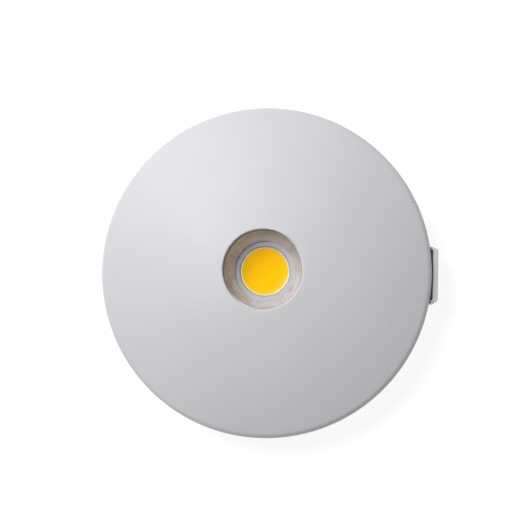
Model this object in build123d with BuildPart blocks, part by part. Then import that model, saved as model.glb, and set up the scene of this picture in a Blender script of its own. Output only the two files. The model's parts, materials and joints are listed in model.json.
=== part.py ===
"""Round ceiling light with a twist-lock base. Millimetres, +Z is the way the light shines.

The origin is the centre of the base's mounting face. The base stays on the ceiling. The head
twists 20 degrees on it about Z, and its cam notch pushes a sprung latch outwards along X.
"""

from build123d import *
import os
from math import cos, radians, sin, sqrt

os.makedirs("parts", exist_ok=True)

# Cover
COVER_R = 60.0  # outer radius of the whole light
SKIRT_Z = 18.0  # lower edge of the cover's skirt
SHOULDER_Z = 23.8  # where the dome would meet the side without its rounded edge
CROWN_Z = 33.0  # top of the dome at the central hole
HOLE_R = 14.25
LIP_R = 0.5  # rounding of the hole's lip
EDGE_R = 2.6  # rounding between side and dome
SHELL_T = 2.0

# Base
BASE_R = 56.0
BASE_WALL_T = 2.4
BASE_WALL_R = BASE_R - BASE_WALL_T  # inner radius of the base's wall
BASE_FLOOR_T = 2.5
BASE_H = 20.0
SLOT_SPACING = 60.0  # between the two mounting slots
SLOT_LENGTH = 14.0
SLOT_W = 4.4
ENTRY_R = 4.0  # cable entry through the grommet
GROMMET_HOLE_R = 9.0
GROMMET_R = 11.0

# Head pan and its bayonet
PAN_Z = 11.0
PAN_FLOOR_T = 2.0
PAN_TOP_Z = PAN_Z + PAN_FLOOR_T
PAN_R = 50.8
PAN_WALL_T = 2.0
FLANGE_R = 57.6
FLANGE_Z = 20.8
SEAM_Z = 22.5  # top of the pan's flange, where the cover's bosses start
TWIST = 20.0  # degrees from locked to free
LUG_ANGLES = (60.0, 180.0, 300.0)
LUG_HALF = 8.0  # half the arc of a lug, in degrees
LUG_R = 53.2
LUG_T = 2.2
LEDGE_R = 51.4
LEDGE_HALF = 9.0
LEDGE_T = 2.5
LEDGE_GAP = 0.3  # between a lug and the ledge over it
STOP_GAP = 0.7  # degrees between a lug and its end stop
STOP_ARC = 1.9

# Latch
LATCH_TRAVEL = 2.0
CAM_R = 48.4  # deepest radius of the cam notch
CAM_TOP_Z = 18.2
CAM_GAP = 0.3
BAR_W = 8.0
BAR_Z = 3.0
BAR_T = 3.4
BAR_IN = 38.0  # inner end of the slide bar
WINDOW_W = 4.2
WINDOW_IN = 40.6
WINDOW_OUT = 48.1
POST_IN = 46.0
POST_OUT = 48.0
FINGER_IN = 60.4
FINGER_OUT = 62.2
FINGER_HALF = 9.25  # half the length of the finger bar's outer face
FINGER_Z = 9.0
FINGER_TOP_Z = 21.2
RETURN_T = 1.1  # thickness of the finger bar's two end returns
RETURN_FLARE = 1.1  # how much further apart the returns are where they meet the rim
RETURN_IN = 59.6  # inner end of the returns beside the skirt
RETURN_DEEP = 57.5  # inner end of the returns under the skirt
RETURN_TOP_Z = 17.4  # under the skirt
EAR_OUT = 62.0
EAR_W = 20.6
EAR_TOP_Z = 8.4
EAR_SLOT_W = 8.8

# Terminals
TERMINAL_R = 36.0
TERMINAL_ANGLES = (45.0, 135.0, 225.0, 315.0)
PAD_TOP_Z = BASE_FLOOR_T + 2.0
STRIP_T = 0.7
STRIP_W = 7.0
CONTACT_Z = 10.1  # top of a sprung contact, just under the head's arcs
SCREW_ALONG = -3.5  # terminal screw's place along its strip
RIVET_ALONG = 2.6
ARC_T = 0.8
ARC_PIN_ANGLE = 5.0  # from the strip's centre to the pin of the arc above it

# Light source, from the heat sink up
SINK_R = 17.0
SINK_Z = 15.7
SINK_T = 3.0
PAD_T = 0.3
SUBSTRATE_W = 22.0
SUBSTRATE_T = 1.5
LES_R = 8.3  # radius of the yellow light-emitting face inside the dam
DAM_R = 8.85
HOLDER_R = 16.5
HOLDER_IN_R = 9.0
HOLDER_TOP_Z = 22.1
HOLDER_SCREW_R = 13.8
SINK_SCREW_R = 13.2
BOWL_TOP_R = 14.0
BOWL_FOOT_R = 11.0
BOWL_T = 0.8
BOWL_TOP_Z = 30.6
BOWL_FOOT_Z = 22.9

# Driver
BOARD_Z = 16.0
BOARD_T = 1.6
BOARD_TOP_Z = BOARD_Z + BOARD_T
BOARD_IN = 19.0
BOARD_OUT = 40.8
STANDOFF_R = 37.0
POST_R = 45.5  # circle of the cover's screw posts
POST_START = 30.0
LEAD_R = 0.5
LEAD_ANGLES = {"led_lead_red": 135.0, "led_lead_black": 225.0}
LEAD_START = 11.2
LEAD_TURN = 20.6
LEAD_LAND = 24.4

# The dome is a spherical cap centred on the axis, found from its two edges.
DOME_DROP = CROWN_Z - SHOULDER_Z
DOME_CENTRE_Z = SHOULDER_Z - (COVER_R**2 - HOLE_R**2 - DOME_DROP**2) / (2 * DOME_DROP)
DOME_R = sqrt(COVER_R**2 + (SHOULDER_Z - DOME_CENTRE_Z) ** 2)


def dome_z(radius, inset=0.0):
    """Height of the dome, or of the surface that far inside it, at a distance from the axis."""
    return DOME_CENTRE_Z + sqrt((DOME_R - inset) ** 2 - radius**2)


def polar(radius, angle):
    return (radius * cos(radians(angle)), radius * sin(radians(angle)))


def keep(piece, name):
    """Label a finished piece and write its STEP file."""
    piece.part.label = name
    export_step(piece.part, f"parts/{name}.step")


def arc_band(inner, outer, start, end):
    """Flat band between two radii and two angles, to be added to a sketch."""
    middle = (start + end) / 2
    with BuildSketch() as band:
        with BuildLine():
            ThreePointArc(polar(inner, start), polar(inner, middle), polar(inner, end))
            Line(polar(inner, end), polar(outer, end))
            ThreePointArc(polar(outer, end), polar(outer, middle), polar(outer, start))
            Line(polar(outer, start), polar(inner, start))
        make_face()
    return band.sketch_local


def station(angle, width):
    """Upright plane at a terminal, x along the strip and y up, where a piece that wide starts."""
    x, y = polar(TERMINAL_R - width / 2, angle)
    along = (-sin(radians(angle)), cos(radians(angle)), 0)
    outwards = (cos(radians(angle)), sin(radians(angle)), 0)
    return Plane(origin=(x, y, 0), x_dir=along, z_dir=outwards)


def station_spots(along):
    """Plan positions that far along each terminal strip."""
    spots = []
    for angle in TERMINAL_ANGLES:
        x, y = polar(TERMINAL_R, angle)
        spots.append((x - along * sin(radians(angle)), y + along * cos(radians(angle))))
    return spots


def make_screws(spots, seat_z, shank_r, shank_length, head_r, head_h, up=1):
    """Cross-head screws whose heads stand on seat_z; up is 1 for heads on top, -1 for below."""
    recess = head_r * 1.2
    with BuildPart() as screws:
        with BuildSketch(Plane.XY.offset(seat_z)):
            with Locations(*spots):
                Circle(head_r)
        extrude(amount=up * head_h)
        rims = screws.edges().filter_by(GeomType.CIRCLE).group_by(Axis.Z)
        fillet(rims[-1] if up > 0 else rims[0], head_h * 0.45)
        with BuildSketch(Plane.XY.offset(seat_z)):
            with Locations(*spots):
                Circle(shank_r)
        extrude(amount=-up * shank_length)
        tips = screws.edges().filter_by(GeomType.CIRCLE).group_by(Axis.Z)
        chamfer(tips[0] if up > 0 else tips[-1], shank_r * 0.3)
        with BuildSketch(Plane.XY.offset(seat_z + up * head_h)):
            with Locations(*spots):
                Rectangle(recess, recess / 4)
                Rectangle(recess / 4, recess)
        extrude(amount=-up * head_h * 0.5, mode=Mode.SUBTRACT)
    return screws


post_spots = [polar(POST_R, POST_START + 120 * turn) for turn in range(3)]
standoff_spots = [polar(STANDOFF_R, 90.0 + 120 * turn) for turn in range(3)]
holder_spots = [(HOLDER_SCREW_R, 0), (-HOLDER_SCREW_R, 0)]
sink_spots = [(0, SINK_SCREW_R), (0, -SINK_SCREW_R)]
arc_pin_spots = [polar(TERMINAL_R, angle + ARC_PIN_ANGLE) for angle in TERMINAL_ANGLES]

# ---------------------------------------------------------------- base_plate
GROMMET_LIP_H = 1.0
KEEPER_X = 43.0
KEEPER_SCREW_Y = 8.5
KEEPER_Z = BAR_Z + BAR_T + 0.4
KEEPER_T = 1.5

with BuildPart() as base_plate:
    with BuildSketch(Plane.XZ):
        with BuildLine():
            Polyline(
                (GROMMET_HOLE_R, GROMMET_LIP_H),
                (GROMMET_R + 0.3, GROMMET_LIP_H),
                (GROMMET_R + 0.3, 0),
                (BASE_R, 0),
                (BASE_R, BASE_H),
                (BASE_WALL_R, BASE_H),
                (BASE_WALL_R, BASE_FLOOR_T),
                (GROMMET_HOLE_R, BASE_FLOOR_T),
                close=True,
            )
        make_face()
    revolve(axis=Axis.Z)
    lower_rim = base_plate.edges().filter_by(GeomType.CIRCLE).group_by(Axis.Z)[0]
    chamfer(lower_rim.sort_by(SortBy.RADIUS)[-1], 0.6)
    # Ears beside the latch, drawn together outwards
    with BuildSketch():
        with BuildLine():
            Polyline(
                (BASE_WALL_R + 1, -EAR_W / 2 - 0.4),
                (EAR_OUT, -EAR_W / 2 + 0.6),
                (EAR_OUT, EAR_W / 2 - 0.6),
                (BASE_WALL_R + 1, EAR_W / 2 + 0.4),
                close=True,
            )
        make_face()
    extrude(amount=EAR_TOP_Z)
    ear_corners = base_plate.edges().filter_by(Axis.Z).group_by(Axis.X)[-1]
    fillet(ear_corners, 0.8)
    # Ledges over the bayonet lugs, and the stops at both ends of the twist
    with BuildSketch(Plane.XY.offset(PAN_Z + LUG_T + LEDGE_GAP)):
        for angle in LUG_ANGLES:
            add(arc_band(LEDGE_R, BASE_WALL_R + 0.5, angle - LEDGE_HALF, angle + LEDGE_HALF))
    extrude(amount=LEDGE_T)
    with BuildSketch(Plane.XY.offset(PAN_Z)):
        for angle in LUG_ANGLES:
            first = angle - LUG_HALF - STOP_GAP
            last = angle + LUG_HALF + TWIST + STOP_GAP
            add(arc_band(LEDGE_R, BASE_WALL_R + 0.5, first - STOP_ARC, first))
            add(arc_band(LEDGE_R, BASE_WALL_R + 0.5, last, last + STOP_ARC))
    extrude(amount=LUG_T + LEDGE_GAP + 0.5)
    # Raised pads under the terminals and around the mounting slots
    with BuildSketch(Plane.XY.offset(BASE_FLOOR_T)):
        for angle in TERMINAL_ANGLES:
            with Locations(Location((*polar(TERMINAL_R, angle), 0), (0, 0, angle + 90))):
                RectangleRounded(17, 9, 1.5)
    extrude(amount=PAD_TOP_Z - BASE_FLOOR_T)
    with BuildSketch(Plane.XY.offset(BASE_FLOOR_T)):
        with GridLocations(0, SLOT_SPACING, 1, 2):
            SlotOverall(SLOT_LENGTH + 6, SLOT_W + 6, rotation=90)
    extrude(amount=0.8)
    with BuildSketch():
        with GridLocations(0, SLOT_SPACING, 1, 2):
            SlotOverall(SLOT_LENGTH, SLOT_W, rotation=90)
    extrude(amount=BASE_FLOOR_T + 1, mode=Mode.SUBTRACT)
    # Bosses for the latch keeper, and the post that stops the latch and holds its spring
    with BuildSketch(Plane.XY.offset(BASE_FLOOR_T)):
        with Locations((KEEPER_X, KEEPER_SCREW_Y), (KEEPER_X, -KEEPER_SCREW_Y)):
            Circle(2.8)
    extrude(amount=KEEPER_Z - BASE_FLOOR_T)
    with BuildSketch(Plane.XY.offset(BASE_FLOOR_T)):
        with Locations(((POST_IN + POST_OUT) / 2, 0)):
            Rectangle(POST_OUT - POST_IN, 3.2)
    extrude(amount=3.6)
    # The slide bar's way through the wall and between the ears
    with BuildSketch(Plane.XY.offset(BASE_FLOOR_T)):
        with Locations((BASE_WALL_R - 1, 0)):
            Rectangle(BASE_R - BASE_WALL_R + 2, EAR_SLOT_W, align=(Align.MIN, Align.CENTER))
    extrude(amount=BAR_Z + BAR_T + 0.5 - BASE_FLOOR_T, mode=Mode.SUBTRACT)
    with BuildSketch(Plane.XY.offset(BASE_FLOOR_T)):
        with Locations((BASE_R + 0.1, 0)):
            Rectangle(EAR_OUT - BASE_R + 1, EAR_SLOT_W, align=(Align.MIN, Align.CENTER))
    extrude(amount=EAR_TOP_Z, mode=Mode.SUBTRACT)
    # Pilot holes for the keeper's screws and the terminals, blind above the mounting face
    with BuildSketch(Plane.XY.offset(0.8)):
        with Locations((KEEPER_X, KEEPER_SCREW_Y), (KEEPER_X, -KEEPER_SCREW_Y)):
            Circle(1.05)
        with Locations(*station_spots(SCREW_ALONG)):
            Circle(1.5)
        with Locations(*station_spots(RIVET_ALONG)):
            Circle(1.1)
    extrude(amount=KEEPER_Z, mode=Mode.SUBTRACT)
keep(base_plate, "base_plate")

# ---------------------------------------------------------------- cable_grommet
GROMMET_LENGTH = 4.4
with BuildPart() as cable_grommet:
    with BuildSketch(Plane.XZ):
        with BuildLine():
            Polyline(
                (ENTRY_R, 0),
                (GROMMET_R, 0),
                (GROMMET_R, GROMMET_LIP_H - 0.05),
                (GROMMET_HOLE_R - 0.1, GROMMET_LIP_H - 0.05),
                (GROMMET_HOLE_R - 0.1, BASE_FLOOR_T + 0.05),
                (GROMMET_R, BASE_FLOOR_T + 0.05),
                (GROMMET_R - 0.6, BASE_FLOOR_T + 1.1),
                (ENTRY_R + 2, GROMMET_LENGTH),
                (ENTRY_R, GROMMET_LENGTH),
                close=True,
            )
        make_face()
    revolve(axis=Axis.Z)
keep(cable_grommet, "cable_grommet")

# ---------------------------------------------------------------- terminals
STRIP_Z = PAD_TOP_Z + STRIP_T / 2
CLAMP_Z = PAD_TOP_Z + STRIP_T
CLAMP_T = 1.0
CLAMP_W = 6.8
with BuildPart() as base_contacts:
    for angle in TERMINAL_ANGLES:
        with BuildSketch(station(angle, STRIP_W)):
            with BuildLine():
                FilletPolyline(
                    (-8.0, STRIP_Z),
                    (5.2, STRIP_Z),
                    (8.2, CONTACT_Z - STRIP_T / 2),
                    (11.0, CONTACT_Z - STRIP_T / 2),
                    (12.2, CONTACT_Z - 1.5),
                    radius=0.8,
                )
            trace(line_width=STRIP_T)
        extrude(amount=STRIP_W)
    with BuildSketch(Plane.XY.offset(PAD_TOP_Z)):
        with Locations(*station_spots(SCREW_ALONG)):
            Circle(1.6)
        with Locations(*station_spots(RIVET_ALONG)):
            Circle(1.1)
    extrude(amount=STRIP_T, mode=Mode.SUBTRACT)
keep(base_contacts, "base_contacts")

contact_rivets = make_screws(station_spots(RIVET_ALONG), CLAMP_Z, 1.0, 3.6, 1.7, 0.8)
keep(contact_rivets, "contact_rivets")

with BuildPart() as terminal_clamps:
    for angle in TERMINAL_ANGLES:
        with BuildSketch(station(angle, CLAMP_W)):
            with Locations((SCREW_ALONG, CLAMP_Z)):
                Rectangle(7.0, CLAMP_T, align=(Align.CENTER, Align.MIN))
            with Locations((SCREW_ALONG - 2.2, CLAMP_Z), (SCREW_ALONG + 2.2, CLAMP_Z)):
                Circle(0.35, mode=Mode.SUBTRACT)
        extrude(amount=CLAMP_W)
    with BuildSketch(Plane.XY.offset(CLAMP_Z)):
        with Locations(*station_spots(SCREW_ALONG)):
            Circle(1.6)
    extrude(amount=CLAMP_T, mode=Mode.SUBTRACT)
keep(terminal_clamps, "terminal_clamps")

terminal_screws = make_screws(station_spots(SCREW_ALONG), CLAMP_Z + CLAMP_T, 1.4, 5.0, 2.9, 2.0)
keep(terminal_screws, "terminal_screws")

# ---------------------------------------------------------------- latch
with BuildPart() as latch_keeper:
    with BuildSketch(Plane.XY.offset(KEEPER_Z)):
        with Locations((KEEPER_X, 0)):
            RectangleRounded(6.0, 2 * KEEPER_SCREW_Y + 5.6, 1.5)
            with Locations((0, KEEPER_SCREW_Y), (0, -KEEPER_SCREW_Y)):
                Circle(1.4, mode=Mode.SUBTRACT)
    extrude(amount=KEEPER_T)
keep(latch_keeper, "latch_keeper")

keeper_spots = [(KEEPER_X, KEEPER_SCREW_Y), (KEEPER_X, -KEEPER_SCREW_Y)]
latch_keeper_screws = make_screws(keeper_spots, KEEPER_Z + KEEPER_T, 1.0, 6.0, 2.1, 1.5)
keep(latch_keeper_screws, "latch_keeper_screws")

SPRING_WIRE_R = 0.22
SPRING_R = 1.35
SPRING_TURNS = 6
SPRING_LENGTH = POST_IN - WINDOW_IN - 2 * SPRING_WIRE_R - 0.2
spring_start = (WINDOW_IN + SPRING_WIRE_R + 0.1, 0, BAR_Z + BAR_T / 2)
with BuildPart() as latch_spring:
    with BuildLine() as coil:
        Helix(
            pitch=SPRING_LENGTH / SPRING_TURNS,
            height=SPRING_LENGTH,
            radius=SPRING_R,
            center=spring_start,
            direction=(1, 0, 0),
        )
    with BuildSketch(Plane(origin=coil.line @ 0, z_dir=coil.line % 0)):
        Circle(SPRING_WIRE_R)
    sweep(is_frenet=True)
keep(latch_spring, "latch_spring")

NOSE_X = CAM_R + CAM_GAP  # tip of the nose when locked
NOSE_W = 4.0
NOSE_BACK = NOSE_X + 2.5
RISER_IN = 57.0
RISER_OUT = 59.3
ARM_Z = FINGER_Z + 0.5
ARM_TOP_Z = 14.0
with BuildPart() as release_latch:
    # Slide bar with the window for its spring
    with BuildSketch(Plane.XY.offset(BAR_Z)):
        with Locations((BAR_IN, 0)):
            Rectangle(RISER_OUT - BAR_IN, BAR_W, align=(Align.MIN, Align.CENTER))
        with Locations((WINDOW_IN, 0)):
            window_size = WINDOW_OUT - WINDOW_IN
            Rectangle(window_size, WINDOW_W, align=(Align.MIN, Align.CENTER), mode=Mode.SUBTRACT)
    extrude(amount=BAR_T)
    # Nose that rides in the head's cam notch
    with BuildSketch(Plane.XY.offset(BAR_Z + BAR_T)):
        with BuildLine():
            FilletPolyline(
                (NOSE_BACK, NOSE_W / 2),
                (NOSE_X + 1.8, NOSE_W / 2),
                (NOSE_X - 0.17, 0),
                (NOSE_X + 1.8, -NOSE_W / 2),
                (NOSE_BACK, -NOSE_W / 2),
                radius=0.4,
            )
            Line((NOSE_BACK, NOSE_W / 2), (NOSE_BACK, -NOSE_W / 2))
        make_face()
    extrude(amount=CAM_TOP_Z - 0.7 - BAR_Z - BAR_T)
    # Riser between the ears and the arm to the finger bar
    with BuildSketch(Plane.XZ.offset(-BAR_W / 2)):
        with BuildLine():
            Polyline(
                (RISER_IN, BAR_Z + BAR_T),
                (RISER_OUT, BAR_Z + BAR_T),
                (RISER_OUT, ARM_Z),
                (FINGER_IN + 0.5, ARM_Z),
                (FINGER_IN + 0.5, ARM_TOP_Z),
                (RISER_IN, ARM_TOP_Z),
                close=True,
            )
        make_face()
    extrude(amount=BAR_W)
    # Finger bar with an end return on each side that closes the gap to the rim
    flare = RETURN_FLARE / (FINGER_OUT - RETURN_IN)
    with BuildSketch(Plane.XY.offset(FINGER_Z)):
        with BuildLine():
            Polyline(
                (FINGER_OUT, -FINGER_HALF),
                (FINGER_OUT, FINGER_HALF),
                (RETURN_IN, FINGER_HALF + RETURN_FLARE),
                (RETURN_IN, FINGER_HALF + RETURN_FLARE - RETURN_T),
                (FINGER_IN, FINGER_HALF - RETURN_T + flare * (FINGER_OUT - FINGER_IN)),
                (FINGER_IN, -FINGER_HALF + RETURN_T - flare * (FINGER_OUT - FINGER_IN)),
                (RETURN_IN, -FINGER_HALF - RETURN_FLARE + RETURN_T),
                (RETURN_IN, -FINGER_HALF - RETURN_FLARE),
                close=True,
            )
        make_face()
    extrude(amount=FINGER_TOP_Z - FINGER_Z)
    outer_corners = release_latch.edges().filter_by(Axis.Z).group_by(Axis.X)[-1]
    fillet(outer_corners, 0.7)
    top_edges = release_latch.edges().group_by(Axis.Z)[-1]
    fillet(top_edges, 0.3)
    # The returns reach further in below the skirt
    with BuildSketch(Plane.XY.offset(FINGER_Z)):
        with Locations(
            (RETURN_DEEP, FINGER_HALF + RETURN_FLARE - RETURN_T / 2),
            (RETURN_DEEP, -FINGER_HALF - RETURN_FLARE + RETURN_T / 2),
        ):
            Rectangle(RETURN_IN + 0.3 - RETURN_DEEP, RETURN_T, align=(Align.MIN, Align.CENTER))
    extrude(amount=RETURN_TOP_Z - FINGER_Z)
keep(release_latch, "release_latch")

# ---------------------------------------------------------------- dome_cover
BOSS_R = 3.4
with BuildPart() as dome_cover:
    with BuildSketch(Plane.XZ) as shell:
        with BuildLine():
            inner_r = COVER_R - SHELL_T
            middle_r = (COVER_R + HOLE_R) / 2
            Polyline(
                (inner_r, dome_z(inner_r, SHELL_T)),
                (inner_r, SKIRT_Z),
                (COVER_R, SKIRT_Z),
                (COVER_R, SHOULDER_Z),
            )
            ThreePointArc((COVER_R, SHOULDER_Z), (middle_r, dome_z(middle_r)), (HOLE_R, CROWN_Z))
            Line((HOLE_R, CROWN_Z), (HOLE_R, dome_z(HOLE_R, SHELL_T)))
            ThreePointArc(
                (HOLE_R, dome_z(HOLE_R, SHELL_T)),
                (middle_r, dome_z(middle_r, SHELL_T)),
                (inner_r, dome_z(inner_r, SHELL_T)),
            )
        make_face()
        shoulder = shell.vertices().group_by(Axis.X)[-1].sort_by(Axis.Y)[-1]
        fillet(shoulder, EDGE_R)
        lip = shell.vertices().group_by(Axis.X)[0].sort_by(Axis.Y)[-1]
        fillet(lip, LIP_R)
        skirt_edge = shell.vertices().group_by(Axis.X)[-1].sort_by(Axis.Y)[0]
        fillet(skirt_edge, 0.4)
    revolve(axis=Axis.Z)
    # Screw bosses that end inside the shell's thickness
    with BuildSketch(Plane.XY.offset(SEAM_Z)):
        with Locations(*post_spots):
            Circle(BOSS_R)
    extrude(amount=dome_z(POST_R - BOSS_R, SHELL_T) + 0.1 - SEAM_Z)
    with BuildSketch(Plane.XY.offset(SEAM_Z)):
        with Locations(*post_spots):
            Circle(1.25)
    extrude(amount=3.6, mode=Mode.SUBTRACT)
keep(dome_cover, "dome_cover")

# ---------------------------------------------------------------- rear_housing
SCREW_SINK = 2.4  # depth of the cover screws' counterbores
with BuildPart() as rear_housing:
    with BuildSketch(Plane.XZ):
        with BuildLine():
            Polyline(
                (0, PAN_Z),
                (PAN_R, PAN_Z),
                (PAN_R, FLANGE_Z),
                (FLANGE_R, FLANGE_Z),
                (FLANGE_R, SEAM_Z - 1.0),
                (FLANGE_R - 1.6, SEAM_Z),
                (PAN_R - PAN_WALL_T, SEAM_Z),
                (PAN_R - PAN_WALL_T, PAN_TOP_Z),
                (0, PAN_TOP_Z),
                close=True,
            )
        make_face()
    revolve(axis=Axis.Z)
    with BuildSketch(Plane.XY.offset(PAN_Z)):
        for angle in LUG_ANGLES:
            add(arc_band(PAN_R - 0.5, LUG_R, angle - LUG_HALF, angle + LUG_HALF))
    extrude(amount=LUG_T)
    # Thick wall behind the cam notch
    with BuildSketch(Plane.XY.offset(PAN_TOP_Z)):
        add(arc_band(CAM_R - 1.8, PAN_R - PAN_WALL_T + 0.5, -TWIST - 6, 8))
    extrude(amount=CAM_TOP_Z + 1.2 - PAN_TOP_Z)
    # Posts for the cover, the board and the heat sink
    with BuildSketch(Plane.XY.offset(PAN_TOP_Z)):
        with Locations(*post_spots):
            Circle(4.1)
    extrude(amount=SEAM_Z - PAN_TOP_Z)
    with BuildSketch(Plane.XY.offset(PAN_TOP_Z)):
        with Locations(*standoff_spots):
            Circle(2.5)
    extrude(amount=BOARD_Z - PAN_TOP_Z)
    with BuildSketch(Plane.XY.offset(PAN_TOP_Z)):
        with Locations(*sink_spots):
            Circle(2.6)
    extrude(amount=SINK_Z - PAN_TOP_Z)
    # Screw holes from below, and pilot holes for the board's screws
    with BuildSketch(Plane.XY.offset(PAN_Z)):
        with Locations(*post_spots):
            Circle(1.5)
        with Locations(*sink_spots):
            Circle(1.5)
    extrude(amount=SEAM_Z - PAN_Z, mode=Mode.SUBTRACT)
    with BuildSketch(Plane.XY.offset(PAN_Z)):
        with Locations(*post_spots):
            Circle(2.9)
    extrude(amount=SCREW_SINK, mode=Mode.SUBTRACT)
    with BuildSketch(Plane.XY.offset(PAN_Z)):
        with Locations(*arc_pin_spots):
            Circle(1.05)
    extrude(amount=PAN_FLOOR_T, mode=Mode.SUBTRACT)
    with BuildSketch(Plane.XY.offset(BOARD_Z)):
        with Locations(*standoff_spots):
            Circle(1.05)
    extrude(amount=-4.0, mode=Mode.SUBTRACT)
    # Cam notch: deepest where the latch rests, rising along the twist
    with BuildSketch(Plane.XY.offset(PAN_Z)):
        with BuildLine():
            ramp_mid = CAM_R + LATCH_TRAVEL / 2
            ramp_end = CAM_R + LATCH_TRAVEL
            Line(polar(PAN_R + 1, 4), polar(CAM_R, 4))
            ThreePointArc(polar(CAM_R, 4), polar(CAM_R, 2), polar(CAM_R, 0))
            ThreePointArc(polar(CAM_R, 0), polar(ramp_mid, -TWIST / 2), polar(ramp_end, -TWIST))
            Line(polar(ramp_end, -TWIST), polar(PAN_R + 1, -TWIST - 2))
            ThreePointArc(polar(PAN_R + 1, -TWIST - 2), polar(PAN_R + 1, -9), polar(PAN_R + 1, 4))
        make_face()
    extrude(amount=CAM_TOP_Z - PAN_Z, mode=Mode.SUBTRACT)
keep(rear_housing, "rear_housing")

cover_screw_length = SEAM_Z + 3.2 - PAN_Z - SCREW_SINK
cover_screws = make_screws(post_spots, PAN_Z + SCREW_SINK, 1.15, cover_screw_length, 2.6, 1.8, up=-1)
keep(cover_screws, "cover_screws")

# ---------------------------------------------------------------- head contacts
with BuildPart() as head_contacts:
    with BuildSketch(Plane.XY.offset(PAN_Z - ARC_T)):
        for angle in TERMINAL_ANGLES:
            add(arc_band(TERMINAL_R - 3.5, TERMINAL_R + 3.5, angle - 10, angle + 21))
        with Locations(*arc_pin_spots):
            Circle(1.05, mode=Mode.SUBTRACT)
    extrude(amount=ARC_T)
keep(head_contacts, "head_contacts")

PIN_R = 0.95
with BuildPart() as head_contact_pins:
    with BuildSketch(Plane.XY.offset(PAN_Z - ARC_T)):
        with Locations(*arc_pin_spots):
            Circle(PIN_R)
    extrude(amount=BOARD_TOP_Z + 0.9 - PAN_Z + ARC_T)
    pin_tips = head_contact_pins.edges().filter_by(GeomType.CIRCLE).group_by(Axis.Z)[-1]
    fillet(pin_tips, 0.4)
keep(head_contact_pins, "head_contact_pins")

# ---------------------------------------------------------------- light source
SINK_TOP_Z = SINK_Z + SINK_T
FIN_GAP = 3.6
with BuildPart() as heat_sink:
    with BuildSketch(Plane.XY.offset(SINK_Z)):
        Circle(SINK_R)
    extrude(amount=SINK_T)
    with BuildSketch(Plane.XY.offset(SINK_Z)):
        with GridLocations(FIN_GAP, 0, 9, 1):
            Rectangle(1.2, 2 * SINK_R)
        Circle(SINK_R - 0.1, mode=Mode.INTERSECT)
        with Locations(*sink_spots):
            Circle(3.2, mode=Mode.SUBTRACT)
    extrude(amount=PAN_TOP_Z + 0.3 - SINK_Z)
    with BuildSketch(Plane.XY.offset(SINK_TOP_Z)):
        with Locations(*holder_spots):
            Circle(1.05)
        with Locations(*sink_spots):
            Circle(1.25)
    extrude(amount=-SINK_T + 0.4, mode=Mode.SUBTRACT)
    with BuildSketch(Plane.XY.offset(SINK_Z)):
        with Locations(*sink_spots):
            Circle(1.25)
    extrude(amount=SINK_T / 2, mode=Mode.SUBTRACT)
keep(heat_sink, "heat_sink")

heat_sink_screws = make_screws(sink_spots, PAN_Z, 1.15, SINK_TOP_Z - 0.4 - PAN_Z, 2.4, 0.9, up=-1)
keep(heat_sink_screws, "heat_sink_screws")

with BuildPart() as thermal_pad:
    with BuildSketch(Plane.XY.offset(SINK_TOP_Z)):
        RectangleRounded(SUBSTRATE_W, SUBSTRATE_W, 0.5)
    extrude(amount=PAD_T)
keep(thermal_pad, "thermal_pad")

SUBSTRATE_Z = SINK_TOP_Z + PAD_T
LES_BASE_Z = SUBSTRATE_Z + SUBSTRATE_T
with BuildPart() as cob_substrate:
    with BuildSketch(Plane.XY.offset(SUBSTRATE_Z)):
        RectangleRounded(SUBSTRATE_W, SUBSTRATE_W, 0.8)
    extrude(amount=SUBSTRATE_T)
keep(cob_substrate, "cob_substrate")

with BuildPart() as cob_dam:
    with BuildSketch(Plane.XY.offset(LES_BASE_Z)):
        Circle(DAM_R)
        Circle(LES_R, mode=Mode.SUBTRACT)
    extrude(amount=1.0)
    fillet(cob_dam.edges().filter_by(GeomType.CIRCLE).group_by(Axis.Z)[-1], 0.2)
keep(cob_dam, "cob_dam")

with BuildPart() as cob_phosphor:
    with BuildSketch(Plane.XY.offset(LES_BASE_Z)):
        Circle(LES_R)
    extrude(amount=0.75)
keep(cob_phosphor, "cob_phosphor")

LEAD_Z = LES_BASE_Z + LEAD_R
with BuildPart() as cob_holder:
    with BuildSketch(Plane.XY.offset(SINK_TOP_Z)):
        Circle(HOLDER_R)
        Circle(HOLDER_IN_R, mode=Mode.SUBTRACT)
    extrude(amount=HOLDER_TOP_Z - SINK_TOP_Z)
    mouth = cob_holder.edges().filter_by(GeomType.CIRCLE).group_by(Axis.Z)[-1].sort_by(SortBy.RADIUS)[0]
    chamfer(mouth, 0.45)
    with BuildSketch(Plane.XY.offset(SINK_TOP_Z)):
        RectangleRounded(SUBSTRATE_W + 0.4, SUBSTRATE_W + 0.4, 0.8)
    extrude(amount=LES_BASE_Z - SINK_TOP_Z, mode=Mode.SUBTRACT)
    # Covered channels that the two leads leave through
    with BuildSketch(Plane.XY.offset(LES_BASE_Z)):
        for lead_angle in LEAD_ANGLES.values():
            with Locations(Location((*polar(LEAD_START - 0.6, lead_angle), 0), (0, 0, lead_angle))):
                Rectangle(HOLDER_R - LEAD_START + 2, 2 * LEAD_R + 0.5, align=(Align.MIN, Align.CENTER))
    extrude(amount=2 * LEAD_R + 0.1, mode=Mode.SUBTRACT)
    with BuildSketch(Plane.XY.offset(SINK_TOP_Z)):
        with Locations(*holder_spots):
            Circle(1.25)
    extrude(amount=HOLDER_TOP_Z - SINK_TOP_Z, mode=Mode.SUBTRACT)
    with BuildSketch(Plane.XY.offset(HOLDER_TOP_Z - 1.0)):
        with Locations(*holder_spots):
            Circle(2.1)
    extrude(amount=1.0, mode=Mode.SUBTRACT)
keep(cob_holder, "cob_holder")

cob_holder_screws = make_screws(holder_spots, HOLDER_TOP_Z - 1.0, 0.95, 4.0, 1.9, 0.9)
keep(cob_holder_screws, "cob_holder_screws")

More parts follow.
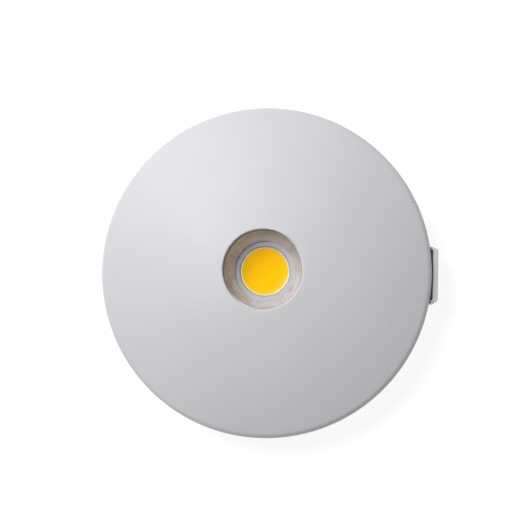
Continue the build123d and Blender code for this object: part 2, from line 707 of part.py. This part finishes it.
with BuildPart() as reflector:
    with BuildSketch(Plane.XZ):
        with BuildLine():
            rim_r = BOWL_TOP_R + 2.4
            bulge_r = (BOWL_TOP_R + BOWL_FOOT_R) / 2 + 0.75
            bulge_z = (BOWL_TOP_Z + BOWL_FOOT_Z) / 2 - 0.3
            ThreePointArc((BOWL_FOOT_R, BOWL_FOOT_Z), (bulge_r, bulge_z), (BOWL_TOP_R, BOWL_TOP_Z))
            Polyline(
                (BOWL_TOP_R, BOWL_TOP_Z),
                (rim_r, BOWL_TOP_Z),
                (rim_r, BOWL_TOP_Z - BOWL_T),
                (BOWL_TOP_R + BOWL_T, BOWL_TOP_Z - BOWL_T),
            )
            ThreePointArc(
                (BOWL_TOP_R + BOWL_T, BOWL_TOP_Z - BOWL_T),
                (bulge_r + BOWL_T + 0.1, bulge_z - 0.2),
                (BOWL_FOOT_R + 1.1, HOLDER_TOP_Z),
            )
            Polyline(
                (BOWL_FOOT_R + 1.1, HOLDER_TOP_Z),
                (BOWL_FOOT_R, HOLDER_TOP_Z),
                (BOWL_FOOT_R, BOWL_FOOT_Z),
            )
        make_face()
    revolve(axis=Axis.Z)
keep(reflector, "reflector")

# ---------------------------------------------------------------- driver
with BuildPart() as driver_board:
    with BuildSketch(Plane.XY.offset(BOARD_Z)):
        Circle(BOARD_OUT)
        Circle(BOARD_IN, mode=Mode.SUBTRACT)
        with Locations(*standoff_spots):
            Circle(1.3, mode=Mode.SUBTRACT)
        with Locations(*arc_pin_spots):
            Circle(1.05, mode=Mode.SUBTRACT)
    extrude(amount=BOARD_T)
keep(driver_board, "driver_board")

board_screws = make_screws(standoff_spots, BOARD_TOP_Z, 0.95, 5.0, 2.2, 1.6)
keep(board_screws, "board_screws")

CAN_R = 4.0
can_spots = [polar(31, 195), polar(31, 175)]
with BuildPart() as electrolytic_capacitors:
    with BuildSketch(Plane.XY.offset(BOARD_TOP_Z)):
        with Locations(*can_spots):
            Circle(CAN_R)
    extrude(amount=9.0)
    fillet(electrolytic_capacitors.edges().filter_by(GeomType.CIRCLE), 0.5)
    groove_z = BOARD_TOP_Z + 1.6
    for spot in can_spots:
        with BuildSketch(Plane.XY.offset(groove_z)):
            with Locations(spot):
                Circle(CAN_R + 0.1)
                Circle(CAN_R - 0.35, mode=Mode.SUBTRACT)
        extrude(amount=0.6, mode=Mode.SUBTRACT)
    with BuildSketch(Plane.XY.offset(BOARD_TOP_Z + 9.0)):
        with Locations(*can_spots):
            Rectangle(5.6, 0.4)
            Rectangle(0.4, 5.6)
    extrude(amount=-0.3, mode=Mode.SUBTRACT)
keep(electrolytic_capacitors, "electrolytic_capacitors")

COIL_R = 5.2
COIL_H = 6.5
WAIST_R = 4.2
FLANGE_T = 1.2
with BuildPart() as inductor:
    with BuildSketch(Plane.XZ):
        with BuildLine():
            Polyline(
                (0, 0),
                (COIL_R, 0),
                (COIL_R, FLANGE_T),
                (WAIST_R, FLANGE_T + 0.4),
                (WAIST_R, COIL_H - FLANGE_T - 0.4),
                (COIL_R, COIL_H - FLANGE_T),
                (COIL_R, COIL_H),
                (0, COIL_H),
                close=True,
            )
        make_face()
    revolve(axis=Axis.Z)
inductor.part.position = (*polar(30, 15), BOARD_TOP_Z)
keep(inductor, "inductor")

CHIP_SPOTS = [(polar(29, 262), 262), (polar(29, 285), 285)]
with BuildPart() as control_chips:
    for spot, angle in CHIP_SPOTS:
        turned = Location((*spot, 0), (0, 0, angle))
        with BuildSketch(Plane.XY.offset(BOARD_TOP_Z + 0.25)):
            with Locations(turned):
                RectangleRounded(3.9, 5.0, 0.2)
        extrude(amount=1.5)
        with BuildSketch(Plane.XY.offset(BOARD_TOP_Z)):
            with Locations(turned):
                with GridLocations(0, 1.27, 1, 4):
                    Rectangle(6.0, 0.42)
        extrude(amount=0.6)
keep(control_chips, "control_chips")

diode_spots = [(polar(30, 100 + 8 * place), 100 + 8 * place) for place in range(4)]
with BuildPart() as rectifier_diodes:
    for spot, angle in diode_spots:
        turned = Location((*spot, 0), (0, 0, angle))
        with BuildSketch(Plane.XY.offset(BOARD_TOP_Z)):
            with Locations(turned):
                Rectangle(5.2, 1.6)
        extrude(amount=0.3)
        with BuildSketch(Plane.XY.offset(BOARD_TOP_Z + 0.2)):
            with Locations(turned):
                Rectangle(4.2, 2.6)
        extrude(amount=1.9)
keep(rectifier_diodes, "rectifier_diodes")

resistor_angles = [40, 48, 56, 64, 310, 318, 326, 334]
with BuildPart() as resistors:
    with BuildSketch(Plane.XY.offset(BOARD_TOP_Z)):
        for angle in resistor_angles:
            with Locations(Location((*polar(26, angle), 0), (0, 0, angle))):
                Rectangle(3.2, 1.6)
    extrude(amount=0.6)
keep(resistors, "resistors")

# ---------------------------------------------------------------- leads
for lead_name, lead_angle in LEAD_ANGLES.items():
    outwards = (*polar(1, lead_angle), 0)
    upright = Plane(origin=(0, 0, 0), x_dir=outwards, z_dir=(*polar(1, lead_angle - 90), 0))
    with BuildPart() as lead:
        with BuildLine(upright) as route:
            FilletPolyline(
                (LEAD_START, LEAD_Z),
                (LEAD_TURN, LEAD_Z),
                (LEAD_LAND, LEAD_Z - 1.2),
                (LEAD_LAND, BOARD_TOP_Z),
                radius=(2.5, 1.2),
            )
        with BuildSketch(Plane(origin=route.line @ 0, z_dir=route.line % 0)):
            Circle(LEAD_R)
        sweep()
    keep(lead, lead_name)
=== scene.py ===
import json
from math import atan, cos, degrees, pi, radians, sin, sqrt, tan

import bmesh
import bpy
from mathutils import Matrix, Vector


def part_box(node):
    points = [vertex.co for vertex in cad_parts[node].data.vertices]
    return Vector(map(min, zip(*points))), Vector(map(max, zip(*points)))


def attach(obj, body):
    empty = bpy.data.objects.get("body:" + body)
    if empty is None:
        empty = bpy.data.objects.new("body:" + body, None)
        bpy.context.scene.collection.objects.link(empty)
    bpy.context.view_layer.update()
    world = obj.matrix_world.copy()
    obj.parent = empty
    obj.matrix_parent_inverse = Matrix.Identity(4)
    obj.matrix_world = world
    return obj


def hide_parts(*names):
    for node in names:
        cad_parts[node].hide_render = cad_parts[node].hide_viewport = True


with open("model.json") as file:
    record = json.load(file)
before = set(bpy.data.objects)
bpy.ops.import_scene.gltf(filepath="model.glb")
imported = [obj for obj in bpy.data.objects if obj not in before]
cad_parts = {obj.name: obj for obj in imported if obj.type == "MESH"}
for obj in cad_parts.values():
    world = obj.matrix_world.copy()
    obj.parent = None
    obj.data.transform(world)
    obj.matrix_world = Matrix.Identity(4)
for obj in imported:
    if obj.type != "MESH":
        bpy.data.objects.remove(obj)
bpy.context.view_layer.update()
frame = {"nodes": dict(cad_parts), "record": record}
nodes = frame["nodes"]

MM = 0.001

# ---------------------------------------------------------------- places, from the frame
# LES stands for the LED's light-emitting face, inside the dam.
cover_low, cover_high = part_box("dome_cover")
COVER_R = cover_high.x
SKIRT_Z = cover_low.z
CROWN_Z = cover_high.z
reflector_low, reflector_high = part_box("reflector")
RIM_R = reflector_high.x
BOWL_TOP_Z = reflector_high.z
HOLDER_TOP_Z = reflector_low.z
dam_low, dam_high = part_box("cob_dam")
DAM_R = dam_high.x
DAM_TOP_Z = dam_high.z
LES_BASE_Z = dam_low.z
phosphor_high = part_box("cob_phosphor")[1]
LES_R = phosphor_high.x
LES_TOP_Z = phosphor_high.z

# ---------------------------------------------------------------- sizes that the frame's boxes don't give
SHELL_T = 2.0 * MM
HOLE_R = RIM_R - 2.15 * MM
LIP_R = 0.5 * MM
EDGE_R = 2.6 * MM
SKIRT_EDGE_R = 0.4 * MM  # rounding of the skirt's lower edge
SHOULDER_Z = SKIRT_Z + 5.8 * MM
BOWL_TOP_R = HOLE_R - 0.25 * MM
BOWL_FOOT_R = 11.0 * MM
BOWL_FOOT_Z = HOLDER_TOP_Z + 0.8 * MM  # where the wall starts, above the foot's collar
BOWL_T = 0.8 * MM
BOWL_BULGE = 0.75 * MM  # how far the wall swells outwards at mid height

SIDES = 256  # faces round a turned piece
AXIS_R = 0.0001 * MM  # a point nearer to the axis than this is on it
SHARP = 35.0  # degrees between two faces from which their edge stays sharp


# ---------------------------------------------------------------- node trees
LOW_NOISE = 0.3  # nearly all of a noise texture lies between these two
HIGH_NOISE = 0.7


class Shader:
    """A Principled material and short ways to add the procedural nodes that feed it."""

    def __init__(self, name, **values):
        self.material = bpy.data.materials.new(name)
        self.material.use_nodes = True
        self.tree = self.material.node_tree
        self.surface = self.tree.nodes["Principled BSDF"]
        for socket, value in values.items():
            self.surface.inputs[socket.replace("_", " ")].default_value = value
        self.place = self.node("ShaderNodeTexCoord").outputs["Object"]  # metres, so scales are per metre

    def node(self, kind, **values):
        made = self.tree.nodes.new(kind)
        for key, value in values.items():
            setattr(made, key, value)
        return made

    def link(self, output, socket):
        self.tree.links.new(output, socket)

    def noise(self, scale, detail=3.0, roughness=0.5, place=None):
        made = self.node("ShaderNodeTexNoise")
        made.inputs["Scale"].default_value = scale
        made.inputs["Detail"].default_value = detail
        made.inputs["Roughness"].default_value = roughness
        self.link(place or self.place, made.inputs["Vector"])
        return made.outputs["Fac"]

    def stretched(self, x, y, z):
        made = self.node("ShaderNodeMapping")
        made.inputs["Scale"].default_value = (x, y, z)
        self.link(self.place, made.inputs["Vector"])
        return made.outputs["Vector"]

    def tint(self, value, dark, light, start=LOW_NOISE, end=HIGH_NOISE):
        """A colour between dark and light, as value goes from start to end."""
        made = self.node("ShaderNodeValToRGB")
        made.color_ramp.elements[0].position = start
        made.color_ramp.elements[0].color = (*dark, 1)
        made.color_ramp.elements[1].position = end
        made.color_ramp.elements[1].color = (*light, 1)
        self.link(value, made.inputs["Fac"])
        self.link(made.outputs["Color"], self.surface.inputs["Base Color"])

    def rough(self, value, low, high):
        """A roughness between low and high, as value goes from a noise's low end to its high end."""
        made = self.node("ShaderNodeMapRange")
        limits = {"From Min": LOW_NOISE, "From Max": HIGH_NOISE, "To Min": low, "To Max": high}
        for socket, number in limits.items():
            made.inputs[socket].default_value = number
        self.link(value, made.inputs["Value"])
        self.link(made.outputs["Result"], self.surface.inputs["Roughness"])

    def bump(self, height, depth, strength):
        """Raise the surface by height times depth, in metres."""
        made = self.node("ShaderNodeBump")
        made.inputs["Strength"].default_value = strength
        made.inputs["Distance"].default_value = depth
        self.link(height, made.inputs["Height"])
        self.link(made.outputs["Normal"], self.surface.inputs["Normal"])


def scaled(colour, factor):
    return tuple(min(1.0, channel * factor) for channel in colour)


def moulded(name, colour, rough=0.32, grain=900.0, depth=0.004 * MM):
    """Moulded plastic: faint flow marks in the colour, fine spark-eroded grain, uneven gloss."""
    shader = Shader(name, IOR=1.36)
    flow = shader.noise(22.0, 4.0)
    shader.tint(flow, scaled(colour, 0.965), scaled(colour, 1.02), 0.25, 0.75)
    shader.rough(shader.noise(60.0, 5.0), rough - 0.04, rough + 0.04)
    shader.bump(shader.noise(grain, 3.0), depth, 0.6)
    return shader.material


def metal(name, colour, rough=0.28, streak=(1.0, 1.0, 1.0), scale=400.0, depth=0.003 * MM):
    """Metal with fine lines along the axis whose streak number is smallest."""
    shader = Shader(name, Metallic=1.0)
    lines = shader.noise(scale, 4.0, 0.6, shader.stretched(*streak))
    shader.tint(lines, scaled(colour, 0.82), scaled(colour, 1.06), 0.3, 0.7)
    shader.rough(shader.noise(scale / 3, 3.0), rough - 0.07, rough + 0.09)
    shader.bump(lines, depth, 0.5)
    return shader.material


def rubber(name, colour, rough=0.62):
    shader = Shader(name, IOR=1.45)
    shader.tint(shader.noise(90.0, 4.0), scaled(colour, 0.8), scaled(colour, 1.25))
    shader.rough(shader.noise(200.0, 4.0), rough - 0.08, rough + 0.1)
    shader.bump(shader.noise(1400.0, 2.0), 0.006 * MM, 0.6)
    return shader.material


def metallised():
    """Satin metallised plastic: grey and a little mottled."""
    shader = Shader("reflector_metallised", Metallic=0.32, IOR=1.5)
    shader.tint(shader.noise(170.0, 4.0, 0.6), (0.49, 0.50, 0.55), (0.67, 0.69, 0.76), 0.34, 0.6)
    shader.rough(shader.noise(240.0, 4.0), 0.50, 0.62)
    shader.bump(shader.noise(190.0, 3.0), 0.05 * MM, 0.5)
    return shader.material


def phosphor():
    """Yellow phosphor in silicone: fine grains under a smooth, slightly wavy gel, with a faint painted glow.
    """
    shader = Shader("phosphor_yellow", IOR=1.41)
    shader.surface.inputs["Specular IOR Level"].default_value = 0.08
    grains = shader.noise(1500.0, 4.0, 0.6)
    shader.tint(grains, (0.84, 0.44, 0.0005), (0.92, 0.495, 0.0008), 0.3, 0.7)
    shader.rough(shader.noise(300.0, 3.0), 0.16, 0.24)
    shader.bump(shader.noise(420.0, 3.0), 0.010 * MM, 0.5)
    # Painted glow: the LED is off, and this faint emission lifts the phosphor out of the well's shade.
    shader.surface.inputs["Emission Color"].default_value = (1.0, 0.52, 0.0, 1)
    shader.surface.inputs["Emission Strength"].default_value = 0.14
    return shader.material


def circuit_board():
    """Solder mask with faint copper tracks under it, in rings."""
    shader = Shader("board_green", IOR=1.5, Coat_Weight=0.3, Coat_Roughness=0.2)
    rings = shader.node("ShaderNodeTexWave", wave_type="RINGS", rings_direction="Z")
    rings.inputs["Scale"].default_value = 130.0
    rings.inputs["Distortion"].default_value = 3.0
    rings.inputs["Detail Scale"].default_value = 40.0
    shader.link(shader.place, rings.inputs["Vector"])
    shader.tint(rings.outputs["Fac"], (0.012, 0.13, 0.05), (0.03, 0.24, 0.09), 0.45, 0.55)
    shader.rough(shader.noise(300.0, 3.0), 0.28, 0.38)
    shader.bump(rings.outputs["Fac"], 0.03 * MM, 0.5)
    return shader.material


def capacitor_sleeve():
    """Shrunk plastic sleeve: dark blue, with an uneven gloss."""
    shader = Shader("capacitor_sleeve", IOR=1.5, Coat_Weight=0.4, Coat_Roughness=0.15)
    shader.tint(shader.noise(150.0, 3.0), (0.02, 0.025, 0.06), (0.045, 0.05, 0.11))
    shader.rough(shader.noise(300.0, 3.0), 0.25, 0.4)
    shader.bump(shader.noise(500.0, 3.0), 0.01 * MM, 0.5)
    return shader.material


MATERIALS = {
    "cover_white": moulded("cover_white", (0.63, 0.63, 0.655), 0.46),
    "base_white": moulded("base_white", (0.62, 0.62, 0.63), 0.42, 700.0, 0.006 * MM),
    "latch_white": moulded("latch_white", (0.60, 0.60, 0.63), 0.36),
    "rubber_black": rubber("rubber_black", (0.035, 0.035, 0.037)),
    "contact_brass": metal("contact_brass", (0.76, 0.58, 0.26), 0.26, (1.0, 1.0, 0.1)),
    "screw_steel": metal("screw_steel", (0.55, 0.55, 0.56), 0.27, (1.0, 1.0, 0.2), 700.0),
    "spring_steel": metal("spring_steel", (0.42, 0.42, 0.44), 0.2, (0.2, 1.0, 1.0), 900.0),
    "reflector_metallised": metallised(),
    "sink_aluminium": metal("sink_aluminium", (0.66, 0.67, 0.69), 0.36, (1.0, 0.06, 1.0), 500.0),
    "substrate_ceramic": moulded("substrate_ceramic", (0.80, 0.80, 0.78), 0.45, 1500.0, 0.002 * MM),
    "dam_silicone": rubber("dam_silicone", (0.74, 0.68, 0.54), 0.2),
    "phosphor_yellow": phosphor(),
    "holder_grey": moulded("holder_grey", (0.46, 0.46, 0.465), 0.5, 800.0, 0.005 * MM),
    "pad_grey": rubber("pad_grey", (0.28, 0.33, 0.42), 0.7),
    "board_green": circuit_board(),
    "capacitor_sleeve": capacitor_sleeve(),
    "ferrite_black": rubber("ferrite_black", (0.05, 0.05, 0.055), 0.55),
    "chip_black": moulded("chip_black", (0.022, 0.022, 0.023), 0.45, 1800.0, 0.006 * MM),
    "resistor_dark": moulded("resistor_dark", (0.04, 0.04, 0.05), 0.3, 1500.0, 0.003 * MM),
    "lead_red": moulded("lead_red", (0.50, 0.012, 0.014), 0.35, 500.0),
    "lead_black": moulded("lead_black", (0.02, 0.02, 0.02), 0.35, 500.0),
}

slot_of = {part["node"]: part["material_slot"] for part in frame["record"]["subparts"]}
body_of = {name: body for body, names in frame["record"]["behaviour"]["bodies"].items() for name in names}
for name, node in nodes.items():
    for material_slot in node.material_slots:
        material_slot.material = MATERIALS[slot_of[name]]


# ---------------------------------------------------------------- mesh helpers
def arc(centre, radius, start, end, steps):
    """Points (distance from the axis, height) along an arc, angles in degrees."""
    points = []
    for step in range(steps + 1):
        angle = radians(start + (end - start) * step / steps)
        points.append((centre[0] + radius * cos(angle), centre[1] + radius * sin(angle)))
    return points


def turned(name, profile):
    """A smooth closed body turned about Z from points (radius, height). On the axis it has a real pole."""
    mesh = bpy.data.meshes.new(name)
    shape = bmesh.new()
    rings = []
    for radius, height in profile:
        if radius < AXIS_R:
            rings.append([shape.verts.new((0, 0, height))])
            continue
        ring = []
        for side in range(SIDES):
            angle = 2 * pi * side / SIDES
            ring.append(shape.verts.new((radius * cos(angle), radius * sin(angle), height)))
        rings.append(ring)
    for first, second in zip(rings, rings[1:] + rings[:1]):
        if len(first) == 1 and len(second) == 1:
            continue
        for side in range(SIDES):
            after = (side + 1) % SIDES
            if len(first) == 1:
                shape.faces.new((first[0], second[after], second[side]))
            elif len(second) == 1:
                shape.faces.new((first[side], first[after], second[0]))
            else:
                shape.faces.new((first[side], first[after], second[after], second[side]))
    bmesh.ops.recalc_face_normals(shape, faces=shape.faces)
    shape.to_mesh(mesh)
    shape.free()
    mesh.shade_smooth()
    mesh.set_sharp_from_angle(angle=radians(SHARP))
    piece = bpy.data.objects.new(name, mesh)
    bpy.context.scene.collection.objects.link(piece)
    return piece


def stand_for(piece, node_name):
    """The piece takes the material and the body of the CAD node that it replaces."""
    piece.data.materials.append(MATERIALS[slot_of[node_name]])
    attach(piece, body_of[node_name])
    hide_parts(node_name)


# ---------------------------------------------------------------- dome cover
def dome_cover():
    """The shell: skirt, rounded edge, spherical dome, lip, and the inner skin."""
    drop = CROWN_Z - SHOULDER_Z
    centre_z = SHOULDER_Z - (COVER_R**2 - HOLE_R**2 - drop**2) / (2 * drop)
    dome_r = sqrt(COVER_R**2 + (SHOULDER_Z - centre_z) ** 2)

    def height(radius, inset=0.0):
        return centre_z + sqrt((dome_r - inset) ** 2 - radius**2)

    # The rounded edge is tangent to the side and to the dome.
    edge_x = COVER_R - EDGE_R
    edge_z = centre_z + sqrt((dome_r - EDGE_R) ** 2 - edge_x**2)
    edge_end = degrees(atan((edge_z - centre_z) / edge_x))
    # The lip is tangent to the dome and to the hole's wall.
    lip_x = HOLE_R + LIP_R
    lip_z = centre_z + sqrt((dome_r - LIP_R) ** 2 - lip_x**2)
    lip_start = degrees(atan((lip_z - centre_z) / lip_x))
    skirt_x = COVER_R - SKIRT_EDGE_R
    profile = [(COVER_R - SHELL_T, SKIRT_Z), (skirt_x, SKIRT_Z)]
    profile += arc((skirt_x, SKIRT_Z + SKIRT_EDGE_R), SKIRT_EDGE_R, -90, 0, 4)[1:]
    profile += arc((edge_x, edge_z), EDGE_R, 0, edge_end, 12)
    outer_start = dome_r * cos(radians(edge_end))
    outer_end = dome_r * cos(radians(lip_start))
    outer_steps = 40
    for step in range(1, outer_steps):
        radius = outer_start + (outer_end - outer_start) * step / outer_steps
        profile.append((radius, height(radius)))
    profile += arc((lip_x, lip_z), LIP_R, lip_start, 180, 12)
    profile.append((HOLE_R, height(HOLE_R, SHELL_T)))
    inner_r = COVER_R - SHELL_T
    inner_steps = 24
    for step in range(1, inner_steps + 1):
        radius = HOLE_R + (inner_r - HOLE_R) * step / inner_steps
        profile.append((radius, height(radius, SHELL_T)))
    stand_for(turned("dome_cover_shell", profile), "dome_cover")


def reflector():
    """Metallised bowl: a flat rim, a swelling wall and a collar at its foot."""
    steps = 26

    def wall_radius(along):
        """The wall's inner radius, along going from 0 at the foot to 1 at the top."""
        return BOWL_FOOT_R + (BOWL_TOP_R - BOWL_FOOT_R) * along + sin(pi * along) * BOWL_BULGE

    profile = []
    for step in range(steps + 1):
        along = step / steps
        profile.append((wall_radius(along), BOWL_FOOT_Z + (BOWL_TOP_Z - BOWL_FOOT_Z) * along))
    rim_under_z = BOWL_TOP_Z - BOWL_T
    profile += [(RIM_R, BOWL_TOP_Z), (RIM_R, rim_under_z), (BOWL_TOP_R + BOWL_T, rim_under_z)]
    skin = BOWL_T + 0.1 * MM
    for step in range(1, steps):
        along = 1 - step / steps
        profile.append((wall_radius(along) + skin, HOLDER_TOP_Z + (rim_under_z - HOLDER_TOP_Z) * along))
    collar_r = BOWL_FOOT_R + 1.1 * MM
    profile += [(collar_r, HOLDER_TOP_Z), (BOWL_FOOT_R, HOLDER_TOP_Z), (BOWL_FOOT_R, BOWL_FOOT_Z - 0.1 * MM)]
    stand_for(turned("reflector_bowl", profile), "reflector")


def light_source():
    """The dam's rounded bead, and the phosphor's face, which climbs a little where it meets it."""
    outer_r = DAM_R + 0.12 * MM
    bead_r = (outer_r - LES_R) / 2
    bead = [(LES_R, LES_BASE_Z), (outer_r, LES_BASE_Z)]
    bead += arc(((outer_r + LES_R) / 2, DAM_TOP_Z - bead_r), bead_r, 0, 180, 14)
    stand_for(turned("cob_dam_bead", bead), "cob_dam")

    middle_z = LES_TOP_Z - 0.14 * MM
    rim_climb = 0.12 * MM
    steps = 16
    face = [(0, LES_BASE_Z), (LES_R, LES_BASE_Z)]
    for step in range(steps + 1):
        along = 1 - step / steps
        face.append((LES_R * along, middle_z + rim_climb * along**8))
    stand_for(turned("cob_phosphor_face", face), "cob_phosphor")


dome_cover()
reflector()
light_source()


# ---------------------------------------------------------------- floor, light, camera
FLOOR_SIZE = 40.0
FLOOR_Z = -0.2 * MM
LIT_POINT = Vector((0, 0, 20 * MM))
FILL_STRENGTH = 0.12  # of the world, on the object
SEEN_STRENGTH = 0.91  # of the world, above the horizon
TILT_X = 4.8  # degrees that the camera stands to the right of the light's axis
TILT_Y = 4.3  # and below it
ROLL = 1.5
DISTANCE = 7 * COVER_R
SENSOR_MM = 36.0
LENS_MM = 79.53
LOOK_AT = Vector((-0.7 * MM, 2.9 * MM, SHOULDER_Z))


def floor():
    bpy.ops.mesh.primitive_plane_add(size=FLOOR_SIZE, location=(0, 0, FLOOR_Z))
    plane = bpy.context.object
    plane.name = "floor"
    shader = Shader("floor_white", Roughness=0.9)
    shader.surface.inputs["Specular IOR Level"].default_value = 0.1
    shader.surface.inputs["Emission Color"].default_value = (1.0, 1.0, 1.0, 1)
    shader.surface.inputs["Emission Strength"].default_value = 0.88
    shader.tint(shader.noise(3.0), (0.26, 0.26, 0.26), (0.28, 0.28, 0.28))
    plane.data.materials.append(shader.material)


def area_light(name, place, size, power):
    data = bpy.data.lights.new(name, "AREA")
    data.shape = "DISK"
    data.size = size
    data.energy = power
    lamp = bpy.data.objects.new(name, data)
    lamp.location = place
    lamp.rotation_euler = (LIT_POINT - Vector(place)).to_track_quat("-Z", "Y").to_euler()
    bpy.context.scene.collection.objects.link(lamp)


def lights():
    area_light("key", (-0.34, 0.36, 0.55), 0.34, 2.75)
    area_light("front", (-0.17, 0.15, 0.62), 0.2, 2.1)
    world = bpy.data.worlds.new("studio")
    world.use_nodes = True
    tree = world.node_tree
    background = tree.nodes["Background"]
    background.inputs["Color"].default_value = (1.0, 1.0, 1.0, 1)
    # A dim fill on the object, yet as pale as the floor where it is seen above the horizon.
    strength = tree.nodes.new("ShaderNodeMapRange")
    strength.inputs["To Min"].default_value = FILL_STRENGTH
    strength.inputs["To Max"].default_value = SEEN_STRENGTH
    tree.links.new(tree.nodes.new("ShaderNodeLightPath").outputs["Is Camera Ray"], strength.inputs["Value"])
    tree.links.new(strength.outputs["Result"], background.inputs["Strength"])
    bpy.context.scene.world = world


def camera():
    data = bpy.data.cameras.new("camera")
    data.sensor_width = SENSOR_MM
    data.lens = LENS_MM
    data.clip_start = 0.01
    view = bpy.data.objects.new("camera", data)
    backward = Vector((tan(radians(TILT_X)), -tan(radians(TILT_Y)), 1)).normalized()
    right = Vector((0, 1, 0)).cross(backward).normalized()
    up = backward.cross(right)
    basis = Matrix((right, up, backward)).transposed()
    view.location = LOOK_AT + backward * DISTANCE
    view.rotation_euler = (basis @ Matrix.Rotation(radians(ROLL), 3, "Z")).to_euler()
    bpy.context.scene.collection.objects.link(view)
    bpy.context.scene.camera = view


floor()
lights()
camera()
bpy.context.scene.view_settings.view_transform = "Standard"
